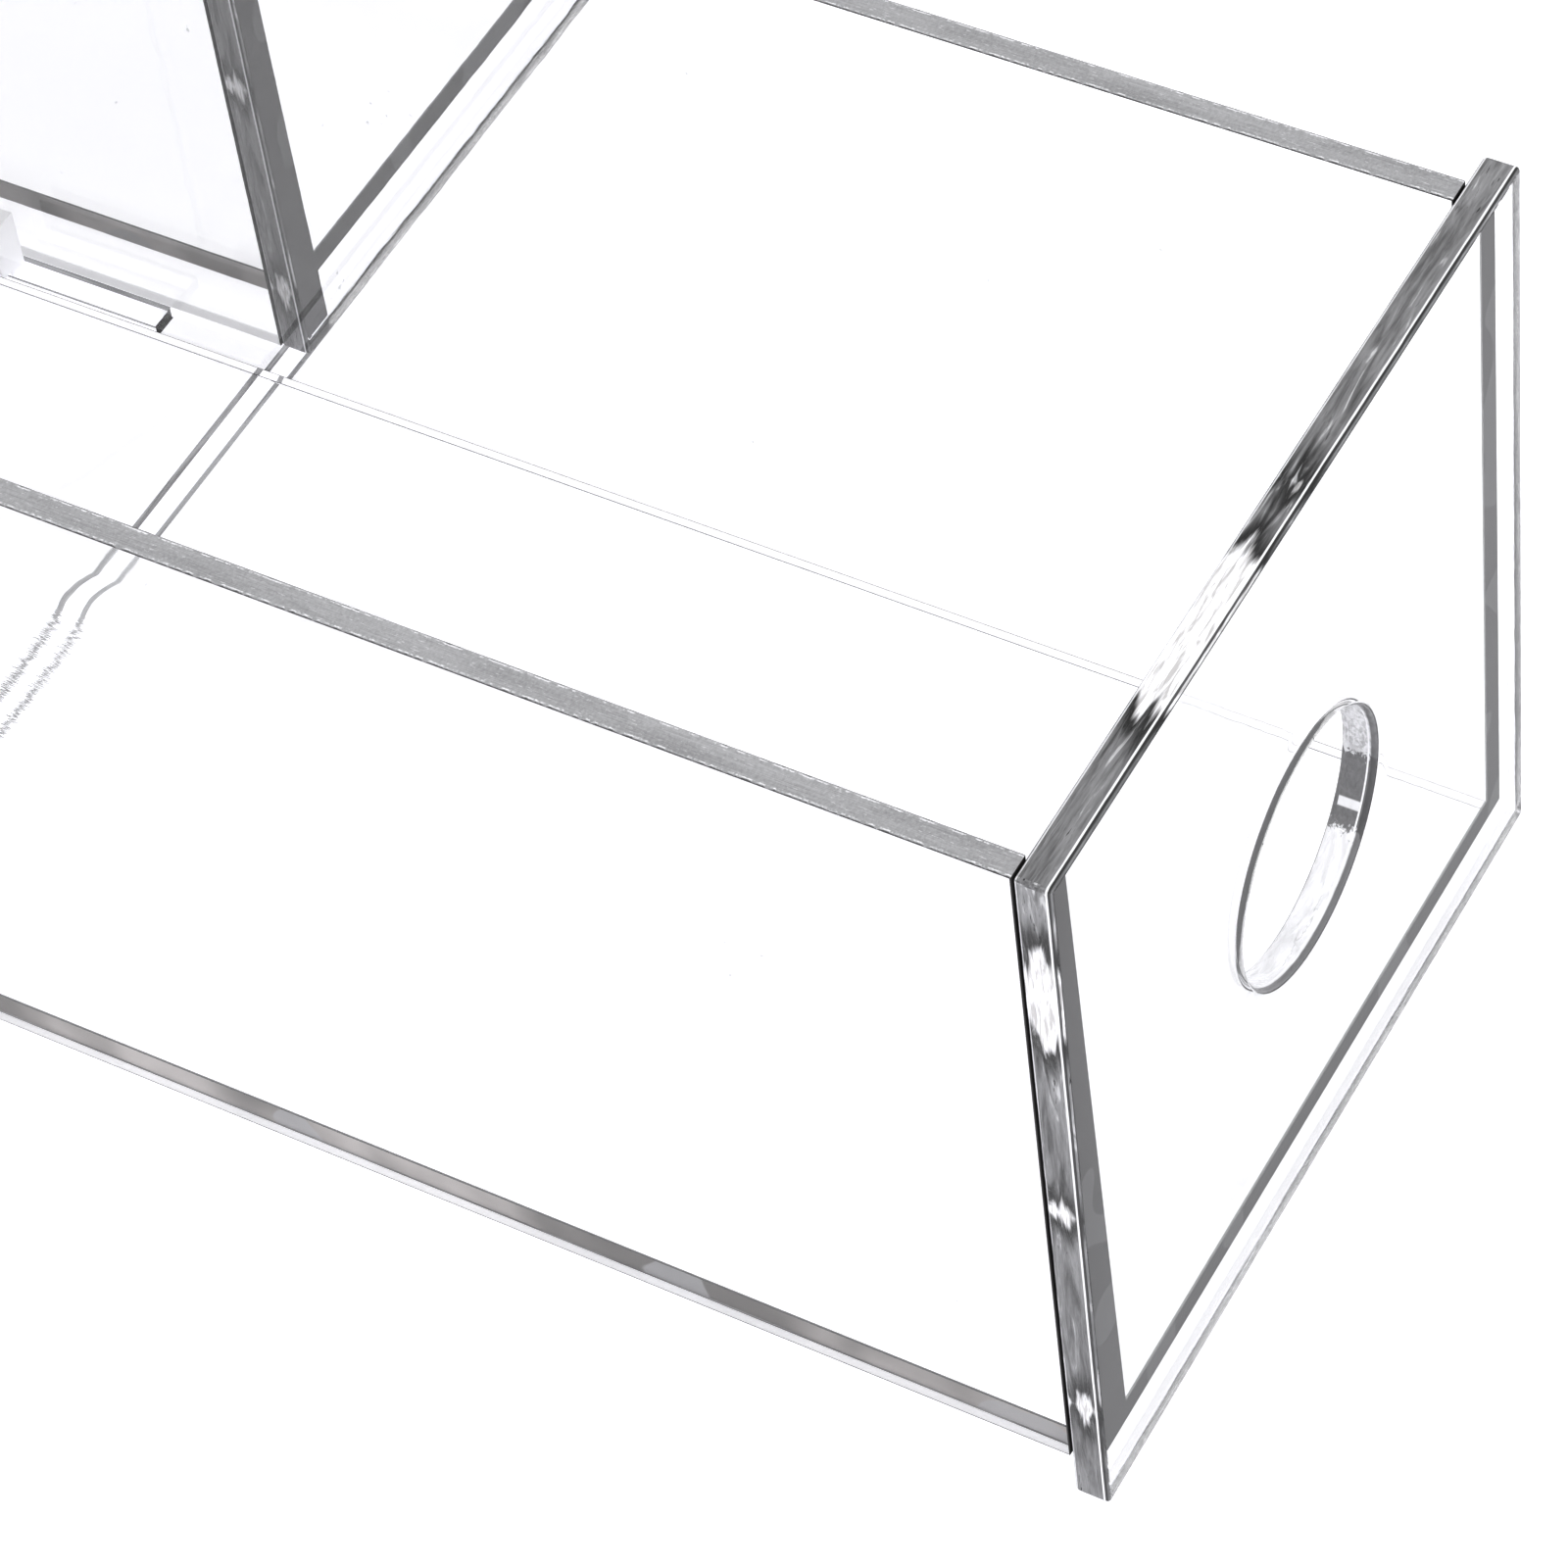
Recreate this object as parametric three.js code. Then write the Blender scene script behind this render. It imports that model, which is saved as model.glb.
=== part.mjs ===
// Clear acrylic dice tower: a laminated base, a square tower with sloping baffles, and a catch
// tray beside it that slides out to the front. Millimetres, +Z up, the front faces -Y.
// The tray stands pulled out. The origin is the centre of the whole outline, on the table.
import * as THREE from 'three';

// Stock and clearances
const SHEET = 3; // walls, floors, base layers and baffles
const PANEL = 4; // the two polished front panels
const BOND = 0.125; // cement line between two flat faces
const SLIP = 0.3; // clearance beside sloping and sliding pieces
const POLISH = 0.5; // rounding of the flame-polished panel edges

// Tray
const TRAY_WIDTH = 96;
const TRAY_LENGTH = 240;
const TRAY_HEIGHT = 94;
const FACE = 100; // both front panels are this wide, and the tray's is as tall
const FINGER_HOLE_RADIUS = 15;
const PULLED_OUT = 157; // how far the tray stands in front of the base
const KEY_LENGTH = 6;
const KEY_HEIGHT = 8;
const KEY_OFFSET = 2; // from the tray's wall to the tongue
const KEY_TONGUE = 2.5; // depth of the tongue below the tray
const KEY_SETBACK = 40; // from the tray's rear face

// Base
const BASE_HEIGHT = 2 * SHEET;
const BASE_LENGTH = 243;
const PANEL_GAP = 1; // between the two front panels
const SLOT_FRONT = 16; // from the base's front edge to the slot
const SLOT_REAR = 202; // from the base's front edge to the slot's rear end

// Tower
const TOWER_DEPTH = 100;
const TOWER_HEIGHT = 250; // above the base
const FLOOR_RISE = 8; // underside of the tower's floor above the base
const DICE_GAP = 36; // free width past the end of each baffle
const BAFFLE_ANGLE = THREE.MathUtils.degToRad(25);
const LOWER_BAFFLE_RISE = 182; // above the base, at the wall that holds it
const UPPER_BAFFLE_RISE = 222.5;
const CLEAT_WIDTH = 8;
const CLEAT_HEIGHT = 6;
const CLEAT_LENGTH = 80;

// Exit ramp and its window
const RAMP_ANGLE = THREE.MathUtils.degToRad(22);
const RAMP_CLEARANCE = 1; // over the tray's wall
const RAMP_REACH = 7; // past the outside of the tray's far wall
const WINDOW_WIDTH = 68;
const WINDOW_HEIGHT = 43;
const WINDOW_RISE = 99.5; // above the base
const CHEEK_HEIGHT = 22;

// Outline of the whole object
const TOTAL_WIDTH = 2 * FACE + PANEL_GAP;
const TOTAL_LENGTH = PANEL + PULLED_OUT + BASE_LENGTH;
const left = -TOTAL_WIDTH / 2;
const right = TOTAL_WIDTH / 2;
const front = -TOTAL_LENGTH / 2;
const rear = TOTAL_LENGTH / 2;
const baseFront = rear - BASE_LENGTH;

const object = new THREE.Group();

const clearSheet = () => new THREE.MeshStandardMaterial({
  color: 0xf1f3f5, roughness: 0.06, metalness: 0, transparent: true, opacity: 0.3,
});
const polishedPanel = () => new THREE.MeshStandardMaterial({
  color: 0xe9ebf0, roughness: 0.03, metalness: 0, transparent: true, opacity: 0.3,
});

function add(parent, name, geometry, material = clearSheet()) {
  const mesh = new THREE.Mesh(geometry, material);
  mesh.name = name;
  parent.add(mesh);
  return mesh;
}

// A flat sheet between two corners.
function sheet(parent, name, [x0, x1], [y0, y1], [z0, z1]) {
  const mesh = add(parent, name, new THREE.BoxGeometry(x1 - x0, y1 - y0, z1 - z0));
  mesh.position.set((x0 + x1) / 2, (y0 + y1) / 2, (z0 + z1) / 2);
  return mesh;
}

function rectangle(x0, x1, y0, y1, Kind = THREE.Shape) {
  const outline = new Kind();
  outline.moveTo(x0, y0);
  outline.lineTo(x1, y0);
  outline.lineTo(x1, y1);
  outline.lineTo(x0, y1);
  outline.closePath();
  return outline;
}

// Turns a shape drawn in (Y, Z) and extruded along its normal so that it stands across X.
function acrossX(geometry, x) {
  const turn = new THREE.Matrix4().makeBasis(
    new THREE.Vector3(0, 1, 0), new THREE.Vector3(0, 0, 1), new THREE.Vector3(1, 0, 0),
  );
  return geometry.applyMatrix4(turn).translate(x, 0, 0);
}

// Turns a shape drawn in (X, Z) so that its extrusion runs from y towards the front.
function acrossY(geometry, y) {
  return geometry.rotateX(Math.PI / 2).translate(0, y, 0);
}

// A front panel with rounded edges. Its outline is drawn in (X, Z), its back lies at y.
function frontPanel(parent, name, [x0, x1], [z0, z1], y, holes = []) {
  const outline = rectangle(x0 + POLISH, x1 - POLISH, z0 + POLISH, z1 - POLISH);
  outline.holes.push(...holes);
  const geometry = new THREE.ExtrudeGeometry(outline, {
    depth: PANEL - 2 * POLISH,
    bevelThickness: POLISH,
    bevelSize: POLISH,
    bevelSegments: 3,
    curveSegments: 32,
  });
  return add(parent, name, acrossY(geometry, y - POLISH), polishedPanel());
}

// Tray: five bonded sheets and the panel that fronts them.
function buildTray() {
  const tray = new THREE.Group();
  const back = front + PANEL; // the front panel's inner face
  const walls = [back + BOND, back + TRAY_LENGTH];
  const inner = [left + SHEET + BOND, left + TRAY_WIDTH - SHEET - BOND];
  const floorZ = BASE_HEIGHT + SLIP;
  const top = BASE_HEIGHT + TRAY_HEIGHT;
  const hole = new THREE.Path();
  const holeZ = top - FACE / 2;
  hole.absarc(left + FACE / 2, holeZ, FINGER_HOLE_RADIUS + POLISH, 0, 2 * Math.PI, true);
  frontPanel(tray, 'tray_front_panel', [left, left + FACE], [top - FACE, top], back, [hole]);
  sheet(tray, 'tray_near_wall', [left, left + SHEET], walls, [floorZ, top]);
  sheet(tray, 'tray_far_wall', [left + TRAY_WIDTH - SHEET, left + TRAY_WIDTH], walls, [floorZ, top]);
  sheet(tray, 'tray_rear_wall', inner, [walls[1] - SHEET, walls[1]], [floorZ, top]);
  sheet(tray, 'tray_floor', inner, [walls[0], walls[1] - SHEET - BOND], [floorZ, floorZ + SHEET]);

  // The key: a block on the far wall with a tongue that runs in the base's slot.
  const x0 = left + TRAY_WIDTH + BOND;
  const x1 = left + FACE + PANEL_GAP - SLIP;
  const tongueX = left + TRAY_WIDTH + KEY_OFFSET;
  const profile = new THREE.Shape();
  profile.moveTo(x0, BASE_HEIGHT + SLIP);
  profile.lineTo(tongueX, BASE_HEIGHT + SLIP);
  profile.lineTo(tongueX, BASE_HEIGHT - KEY_TONGUE);
  profile.lineTo(x1, BASE_HEIGHT - KEY_TONGUE);
  profile.lineTo(x1, BASE_HEIGHT + KEY_HEIGHT);
  profile.lineTo(x0, BASE_HEIGHT + KEY_HEIGHT);
  profile.closePath();
  const key = new THREE.ExtrudeGeometry(profile, { depth: KEY_LENGTH, bevelEnabled: false });
  add(tray, 'tray_guide_key', acrossY(key, walls[1] - KEY_SETBACK));
  return tray;
}

// Base: two laminated sheets, the upper one slotted for the tray's key.
function buildBase() {
  const base = new THREE.Group();
  sheet(base, 'base_lower_sheet', [left, right], [baseFront, rear], [0, SHEET - BOND]);
  const outline = rectangle(left, right, baseFront, rear);
  const slotX0 = left + TRAY_WIDTH + KEY_OFFSET - SLIP;
  const slotX1 = left + FACE + PANEL_GAP;
  const slot = [slotX0, slotX1, baseFront + SLOT_FRONT, baseFront + SLOT_REAR];
  outline.holes.push(rectangle(...slot, THREE.Path));
  const upper = new THREE.ExtrudeGeometry(outline, { depth: SHEET, bevelEnabled: false });
  add(base, 'base_upper_sheet', upper.translate(0, 0, SHEET));
  return base;
}

// A wedge-shaped cleat under a baffle, bonded to the wall at x. side is +1 where the wall is
// on the left of the cleat, and -1 where it is on the right.
function cleat(parent, name, x, side, topZ, angle, y) {
  const profile = new THREE.Shape();
  profile.moveTo(x, topZ);
  profile.lineTo(x, topZ - CLEAT_HEIGHT - CLEAT_WIDTH * Math.tan(angle));
  profile.lineTo(x + side * CLEAT_WIDTH, topZ - CLEAT_WIDTH * Math.tan(angle));
  profile.closePath();
  const geometry = new THREE.ExtrudeGeometry(profile, { depth: CLEAT_LENGTH, bevelEnabled: false });
  add(parent, name, acrossY(geometry, y + CLEAT_LENGTH / 2));
}

// A baffle that leaves the wall at x and slopes down into the shaft.
function baffle(parent, name, x, side, rise, [y0, y1], run) {
  const length = (run - SHEET * Math.sin(BAFFLE_ANGLE)) / Math.cos(BAFFLE_ANGLE);
  const pivot = new THREE.Group();
  pivot.position.set(x, (y0 + y1) / 2, BASE_HEIGHT + rise);
  pivot.rotation.y = side * BAFFLE_ANGLE;
  const plate = add(pivot, name, new THREE.BoxGeometry(length, y1 - y0, SHEET));
  plate.position.set(side * length / 2, 0, SHEET / 2);
  parent.add(pivot);
}

// Tower: the case, its floor, the baffles, and the ramp that leaves through the window.
function buildTower() {
  const tower = new THREE.Group();
  const x0 = left + FACE + PANEL_GAP;
  const y0 = baseFront + BOND;
  const y1 = baseFront - PANEL + TOWER_DEPTH;
  const z0 = BASE_HEIGHT + BOND;
  const top = BASE_HEIGHT + TOWER_HEIGHT;
  const inner = [x0 + SHEET + BOND, right - SHEET - BOND];
  const depth = [y0, y1 - SHEET - BOND];
  const middle = (depth[0] + depth[1]) / 2;

  frontPanel(tower, 'tower_front_panel', [x0, right], [z0, top], baseFront);
  const wall = rectangle(y0, y1, z0, top);
  const windowZ = BASE_HEIGHT + WINDOW_RISE;
  const halfWindow = WINDOW_WIDTH / 2;
  const window = [middle - halfWindow, middle + halfWindow, windowZ, windowZ + WINDOW_HEIGHT];
  wall.holes.push(rectangle(...window, THREE.Path));
  const leftWall = new THREE.ExtrudeGeometry(wall, { depth: SHEET, bevelEnabled: false });
  add(tower, 'tower_left_wall', acrossX(leftWall, x0));
  sheet(tower, 'tower_right_wall', [right - SHEET, right], [y0, y1], [z0, top]);
  sheet(tower, 'tower_back_wall', inner, [y1 - SHEET, y1], [z0, top]);
  const floorZ = BASE_HEIGHT + FLOOR_RISE;
  sheet(tower, 'tower_floor', inner, depth, [floorZ, floorZ + SHEET]);

  // Baffles
  const fit = [depth[0] + SLIP, depth[1] - SLIP];
  const run = inner[1] - inner[0] - DICE_GAP;
  const cleatGap = SLIP / Math.cos(BAFFLE_ANGLE);
  baffle(tower, 'lower_baffle', inner[0] + SLIP, 1, LOWER_BAFFLE_RISE, fit, run);
  baffle(tower, 'upper_baffle', inner[1] - SLIP, -1, UPPER_BAFFLE_RISE, fit, run);
  const lowerTop = BASE_HEIGHT + LOWER_BAFFLE_RISE - cleatGap;
  const upperTop = BASE_HEIGHT + UPPER_BAFFLE_RISE - cleatGap;
  cleat(tower, 'lower_baffle_cleat', inner[0], 1, lowerTop, BAFFLE_ANGLE, middle);
  cleat(tower, 'upper_baffle_cleat', inner[1], -1, upperTop, BAFFLE_ANGLE, middle);

  // Ramp: a T-shaped plate, drawn from its lower end (0) up the slope, then laid down.
  const lowX = left + TRAY_WIDTH - RAMP_REACH;
  const lowZ = BASE_HEIGHT + TRAY_HEIGHT + RAMP_CLEARANCE;
  const slope = (x) => (x - lowX) / Math.cos(RAMP_ANGLE);
  const length = slope(inner[1] - SLIP);
  const shoulder = slope(inner[0] + SLIP + SHEET * Math.sin(RAMP_ANGLE));
  const halfTongue = halfWindow - SLIP;
  const halfRamp = (fit[1] - fit[0]) / 2;
  const outline = new THREE.Shape();
  outline.moveTo(0, -halfTongue);
  outline.lineTo(shoulder, -halfTongue);
  outline.lineTo(shoulder, -halfRamp);
  outline.lineTo(length, -halfRamp);
  outline.lineTo(length, halfRamp);
  outline.lineTo(shoulder, halfRamp);
  outline.lineTo(shoulder, halfTongue);
  outline.lineTo(0, halfTongue);
  outline.closePath();
  const laid = new THREE.Group();
  laid.position.set(lowX, middle, lowZ);
  laid.rotation.y = -RAMP_ANGLE;
  add(laid, 'exit_ramp', new THREE.ExtrudeGeometry(outline, { depth: SHEET, bevelEnabled: false }));
  tower.add(laid);
  const rampTop = lowZ + (inner[1] - lowX) * Math.tan(RAMP_ANGLE) - SLIP / Math.cos(RAMP_ANGLE);
  cleat(tower, 'ramp_cleat', inner[1], -1, rampTop, RAMP_ANGLE, middle);

  // Cheeks: two side plates on the part of the ramp that stands outside the tower.
  const cheekX = [lowX, x0 - SLIP];
  const foot = (x) => lowZ + (x - lowX) * Math.tan(RAMP_ANGLE) + (SHEET + SLIP) / Math.cos(RAMP_ANGLE);
  for (const [name, y] of [
    ['ramp_cheek_front', middle - halfTongue + SHEET],
    ['ramp_cheek_rear', middle + halfTongue],
  ]) {
    const profile = new THREE.Shape();
    profile.moveTo(cheekX[0], foot(cheekX[0]));
    profile.lineTo(cheekX[1], foot(cheekX[1]));
    profile.lineTo(cheekX[1], foot(cheekX[1]) + CHEEK_HEIGHT);
    profile.lineTo(cheekX[0], foot(cheekX[0]) + CHEEK_HEIGHT / 2);
    profile.closePath();
    const geometry = new THREE.ExtrudeGeometry(profile, { depth: SHEET, bevelEnabled: false });
    add(tower, name, acrossY(geometry, y));
  }
  return tower;
}

object.add(buildTray(), buildBase(), buildTower());

export default object;
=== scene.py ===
"""Looks of a clear acrylic dice tower: its sheets, their edges, the cement lines and the studio."""

import logging
import math
from dataclasses import dataclass, field
from enum import Enum

import bpy
from mathutils import Matrix, Vector


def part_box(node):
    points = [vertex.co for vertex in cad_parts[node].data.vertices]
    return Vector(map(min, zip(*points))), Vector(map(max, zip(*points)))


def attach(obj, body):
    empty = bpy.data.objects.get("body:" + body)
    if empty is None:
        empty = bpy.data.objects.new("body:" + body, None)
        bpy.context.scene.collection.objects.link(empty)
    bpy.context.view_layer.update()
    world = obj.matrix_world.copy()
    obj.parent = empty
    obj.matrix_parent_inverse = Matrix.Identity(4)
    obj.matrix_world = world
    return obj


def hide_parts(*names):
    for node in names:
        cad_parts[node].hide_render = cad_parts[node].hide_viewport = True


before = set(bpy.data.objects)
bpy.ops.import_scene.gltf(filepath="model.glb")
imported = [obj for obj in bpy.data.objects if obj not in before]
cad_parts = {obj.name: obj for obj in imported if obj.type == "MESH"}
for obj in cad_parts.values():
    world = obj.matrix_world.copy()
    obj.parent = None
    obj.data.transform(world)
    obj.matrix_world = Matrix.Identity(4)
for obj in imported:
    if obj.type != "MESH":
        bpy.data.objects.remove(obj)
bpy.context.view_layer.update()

LOG = logging.getLogger("dice_tower")

MM = 0.001
HOLE_RADIUS = 15 * MM
HOLE_REACH = 20 * MM  # every point of the hole's wall is nearer its centre than this
MERGE_DISTANCE = 1e-6
CUT_DISTANCE = 1e-7
FLAT = 0.97  # a face whose normal agrees with the sheet's this well is one of its wide faces
WITHIN_OUTLINE = 0.5 * MM  # an edge this far inside the outline belongs to a cutout
ACRYLIC_IOR = 1.49
NO_LINE = -0.05  # puts a rim's dark line outside the edge


class Finish(Enum):
    """What one face of a sheet is like. The value is its place in the list of materials."""

    # SAWN, POLISHED, HOLE, RIM, PALE and LINED have light and shade painted into their colours
    CLEAR = 0
    PANEL = 1
    SAWN = 2
    POLISHED = 3
    HOLE = 4
    BUTT = 5
    RIM = 6
    SEALED = 7
    DARK_JOINT = 8
    GREY_JOINT = 9
    SAGGED = 10
    PALE = 11
    LINED = 12


class Axis(Enum):
    """The six ways that an edge of a sheet may face."""

    LEFT = (-1, 0, 0)
    RIGHT = (1, 0, 0)
    FRONT = (0, -1, 0)
    REAR = (0, 1, 0)
    DOWN = (0, 0, -1)
    UP = (0, 0, 1)


# ---------------------------------------------------------------- shader maths


def grey(value: float, warm: float = 0.0) -> tuple[float, float, float, float]:
    """A grey, a little cool by default."""
    return (value * (1 + warm), value, value * (1.03 - warm), 1.0)


class Sock:
    """A shader socket that takes part in Python expressions.

    Args:
        shader: The node graph that the socket belongs to.
        link: The output socket that it wraps.
    """

    def __init__(self, shader: "Shader", link: bpy.types.NodeSocket) -> None:
        """Keeps the graph and the socket."""
        self.shader = shader
        self.link = link

    def _math(self, operation: str, a: object, b: object) -> "Sock":
        """Adds one Math node."""
        return self.shader.node("ShaderNodeMath", {"operation": operation}, {0: a, 1: b})

    def __add__(self, other: object) -> "Sock":
        """self + other."""
        return self._math("ADD", self, other)

    __radd__ = __add__

    def __mul__(self, other: object) -> "Sock":
        """self * other."""
        return self._math("MULTIPLY", self, other)

    __rmul__ = __mul__

    def __sub__(self, other: object) -> "Sock":
        """self - other."""
        return self._math("SUBTRACT", self, other)

    def __rsub__(self, other: object) -> "Sock":
        """other - self."""
        return self._math("SUBTRACT", other, self)

    def __abs__(self) -> "Sock":
        """The value without its sign."""
        return self._math("ABSOLUTE", self, 0.0)

    def top(self, other: object) -> "Sock":
        """The larger of the two."""
        return self._math("MAXIMUM", self, other)

    def ramp(self, low: float, high: float) -> "Sock":
        """0 under low, 1 over high, and smooth between."""
        sockets = {"Value": self, "From Min": low, "From Max": high}
        return self.shader.node("ShaderNodeMapRange", {"interpolation_type": "SMOOTHSTEP"}, sockets)


class Shader:
    """One material's node graph.

    Args:
        name: The material's name.
    """

    def __init__(self, name: str) -> None:
        """Makes an empty material."""
        self.material = bpy.data.materials.new(name)
        self.material.use_nodes = True
        self.tree = self.material.node_tree
        self.tree.nodes.clear()

    def node(
        self,
        kind: str,
        settings: dict | None = None,
        sockets: dict | None = None,
        out: object = 0,
    ) -> Sock:
        """Adds a node.

        Args:
            kind: The node's type.
            settings: Its properties, set first.
            sockets: Values or links for its inputs, by name or number.
            out: The output to hand back, by name or number.

        Returns:
            The chosen output.
        """
        made = self.tree.nodes.new(kind)
        for key, value in (settings or {}).items():
            setattr(made, key, value)
        for key, value in (sockets or {}).items():
            if isinstance(value, Sock):
                self.tree.links.new(value.link, made.inputs[key])
            else:
                made.inputs[key].default_value = value
        return Sock(self, made.outputs[out])

    def vector(self, x: object, y: object, z: object = 0.0) -> Sock:
        """Joins three numbers."""
        return self.node("ShaderNodeCombineXYZ", {}, {0: x, 1: y, 2: z})

    def split(self, vector: Sock) -> tuple[Sock, Sock, Sock]:
        """Parts a vector into its three numbers.

        Args:
            vector: The vector.

        Returns:
            Its x, y and z.
        """
        first = self.node("ShaderNodeSeparateXYZ", {}, {0: vector})
        outs = first.link.node.outputs
        return first, Sock(self, outs[1]), Sock(self, outs[2])

    def noise(
        self,
        vector: Sock,
        scale: float,
        detail: float = 3.0,
        rough: float = 0.5,
        twist: float = 0.0,
    ) -> Sock:
        """Adds a noise texture.

        Args:
            vector: The place to read it at.
            scale: How many times it varies over one unit.
            detail: How many finer layers are added.
            rough: How strong the finer layers are.
            twist: How far it is distorted.

        Returns:
            The noise, from 0 to 1.
        """
        settings = {"noise_dimensions": "3D"}
        shape = {"Scale": scale, "Detail": detail, "Roughness": rough, "Distortion": twist}
        return self.node("ShaderNodeTexNoise", settings, {"Vector": vector} | shape)

    def length(self, a: object, b: object) -> Sock:
        """The length of the arrow (a, b)."""
        settings = {"operation": "LENGTH"}
        return self.node("ShaderNodeVectorMath", settings, {0: self.vector(a, b)}, out="Value")

    def near(self, value: Sock, middle: float, half: float, soft: float = 0.012) -> Sock:
        """1 where value is within half of middle, else 0, with soft ends."""
        return 1.0 - abs(value - middle).ramp(half - soft / 2, half + soft / 2)

    def mix(self, factor: object, a: object, b: object) -> Sock:
        """Mixes two colours.

        Args:
            factor: The share of b.
            a: The colour at 0.
            b: The colour at 1.

        Returns:
            The mixed colour.
        """
        made = self.tree.nodes.new("ShaderNodeMix")
        made.data_type = "RGBA"
        for socket, value in ((made.inputs[0], factor), (made.inputs[6], a), (made.inputs[7], b)):
            if isinstance(value, Sock):
                self.tree.links.new(value.link, socket)
            else:
                socket.default_value = value
        return Sock(self, made.outputs[2])

    def bump(self, height: Sock, depth: float, strength: float = 1.0) -> Sock:
        """A bumped normal, with depth in metres."""
        sockets = {"Height": height, "Distance": depth, "Strength": strength}
        return self.node("ShaderNodeBump", {}, sockets)

    def surface(self, sockets: dict) -> Sock:
        """Adds the general surface shader."""
        return self.node("ShaderNodeBsdfPrincipled", {}, sockets)

    def finish(self, surface: Sock) -> bpy.types.Material:
        """Joins a surface to the output.

        Args:
            surface: The surface's shader.

        Returns:
            The finished material.
        """
        output = self.tree.nodes.new("ShaderNodeOutputMaterial")
        self.tree.links.new(surface.link, output.inputs["Surface"])
        return self.material

    def finish_painted(self, paint: Sock, tone: float, wave: dict | None = None) -> bpy.types.Material:
        """Joins a surface that is painted as seen from outside, and clear as seen from within.

        Args:
            paint: The shader of the outside.
            tone: How much light the clear inside lets through.
            wave: The bumped normal of the inside, under its socket's name, or None.

        Returns:
            The finished material.
        """
        clear = {"Base Color": grey(tone), "Roughness": 0.0, "IOR": ACRYLIC_IOR, "Transmission Weight": 1.0}
        glass = self.surface(clear | (wave or {}))
        within = self.node("ShaderNodeNewGeometry", out="Backfacing")
        return self.finish(self.node("ShaderNodeMixShader", {}, {0: within, 1: paint, 2: glass}))


# -------------------------------------------------------------------- finishes


@dataclass(frozen=True)
class ClearFace:
    """The glossy face of a cast acrylic sheet, with its slight waves, a few specks of dust, painted soft
    grey shade and a painted darker ring round a hole.

    Args:
        name: The material's name.
        tint: How much light one face lets through.
        sag: Whether the sheet has slumped and ridged a little along the rear part of its top.
        hole: The centre of a drilled hole, in metres across and up, or None.
        wave_scale: How many waves there are to a metre.
        wave_depth: How deep the waves are, in metres.
        painted_shade_strength: How dark the painted soft grey shade is.
    """

    name: str
    tint: float = 1.0
    sag: bool = False
    hole: tuple[float, float] | None = None
    wave_scale: float = 22.0
    wave_depth: float = 0.00007
    painted_shade_strength: float = 0.09

    def material(self) -> bpy.types.Material:
        """Builds the finish.

        Returns:
            The material.
        """
        s = Shader(self.name)
        place = s.node("ShaderNodeTexCoord", out="Object")
        wave = s.noise(place, self.wave_scale, detail=1.0)
        wave = wave + 0.12 * s.noise(place, self.wave_scale * 5, detail=2.0)
        x, y, z = s.split(place)
        drawn = s.vector(x * 0.35 + y * 0.2, y * 0.25, z)
        # Painted soft grey shade in drawn-out patches, from noise that also roughens the face a little
        haze_and_shade = s.noise(drawn, 26.0, detail=3.0, twist=0.4).ramp(0.48, 0.8)
        dust = s.noise(place, 1100.0, detail=0.0).ramp(0.80, 0.84)
        dust = dust * s.noise(place, 60.0).ramp(0.66, 0.70)
        tint = s.mix(haze_and_shade * self.painted_shade_strength, (self.tint, self.tint, self.tint, 1.0), grey(0.2))
        tint = s.mix(dust * 0.5, tint, grey(0.12))
        if self.hole is not None:
            away = s.length(x - self.hole[0], z - self.hole[1])
            warped = away + 1.2 * MM * s.noise(place, 90.0)
            lip = 1.0 - warped.ramp(HOLE_RADIUS, HOLE_RADIUS + 4 * MM)
            # A painted darker ring of shade round the hole, beside the real swell of its lip
            ring = 1.0 - warped.ramp(HOLE_RADIUS + 0.2 * MM, HOLE_RADIUS + 2.2 * MM)
            wave = wave + 1.3 * lip
            tint = s.mix(ring * 0.16, tint, grey(0.3))
        if self.sag:
            wave = wave - self.slump(s, y, z)
        sockets = {
            "Base Color": tint,
            "Roughness": 0.004 + 0.03 * haze_and_shade,
            "IOR": ACRYLIC_IOR,
            "Transmission Weight": 1.0,
            "Normal": s.bump(wave, self.wave_depth),
        }
        return s.finish(s.surface(sockets))

    def slump(self, s: Shader, y: Sock, z: Sock) -> Sock:
        """How far the face has sunk, steepest a little under its top edge, with level ridges below.

        Args:
            s: The finish's node graph.
            y: The place along the sheet.
            z: The place up the sheet.

        Returns:
            The depth, in parts of the wave depth.
        """
        rear = y.ramp(-130 * MM, -105 * MM)
        rise = z.ramp(60 * MM, 94.5 * MM)
        rise = rise * rise
        rise = rise * rise
        sunk = 3.2 * rise * rise + 90.0 * (z - 45 * MM).top(0.0)
        ridges = s.noise(s.vector(0.0, y * 25.0, z * 900.0), 1.0, detail=3.0, rough=0.6)
        ridged = z.ramp(50 * MM, 66 * MM) * (1.0 - z.ramp(82 * MM, 88 * MM))
        return rear * (sunk + 0.3 * ridges * ridged)


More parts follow.
